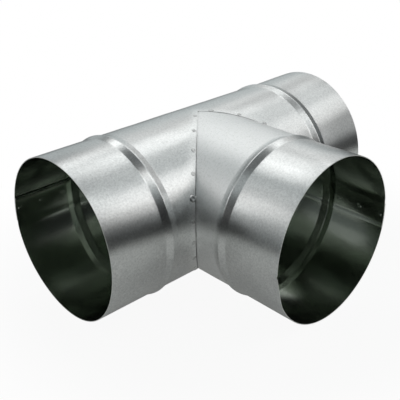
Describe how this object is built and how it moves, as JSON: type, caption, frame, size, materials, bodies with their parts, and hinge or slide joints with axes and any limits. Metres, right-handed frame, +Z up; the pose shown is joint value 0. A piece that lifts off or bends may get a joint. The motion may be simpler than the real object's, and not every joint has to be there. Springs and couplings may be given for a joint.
{
  "type": "equal duct tee",
  "caption": "Equal tee of rolled galvanized sheet for round ventilation duct, with beaded collars and a mitred saddle joint.",
  "frame": {"origin": "centre of the box at the surface that the tee rests on", "axes": "+X along the run, -Y out of the branch mouth, +Z up"},
  "size_m": [0.273, 0.2024, 0.1278],
  "materials": {
    "zinc_sheet": "galvanized sheet with a fine grain and a satin sheen"
  },
  "bodies": {
    "root": {"run_tube": "zinc_sheet", "branch_tube": "zinc_sheet"}
  },
  "joints": []
}
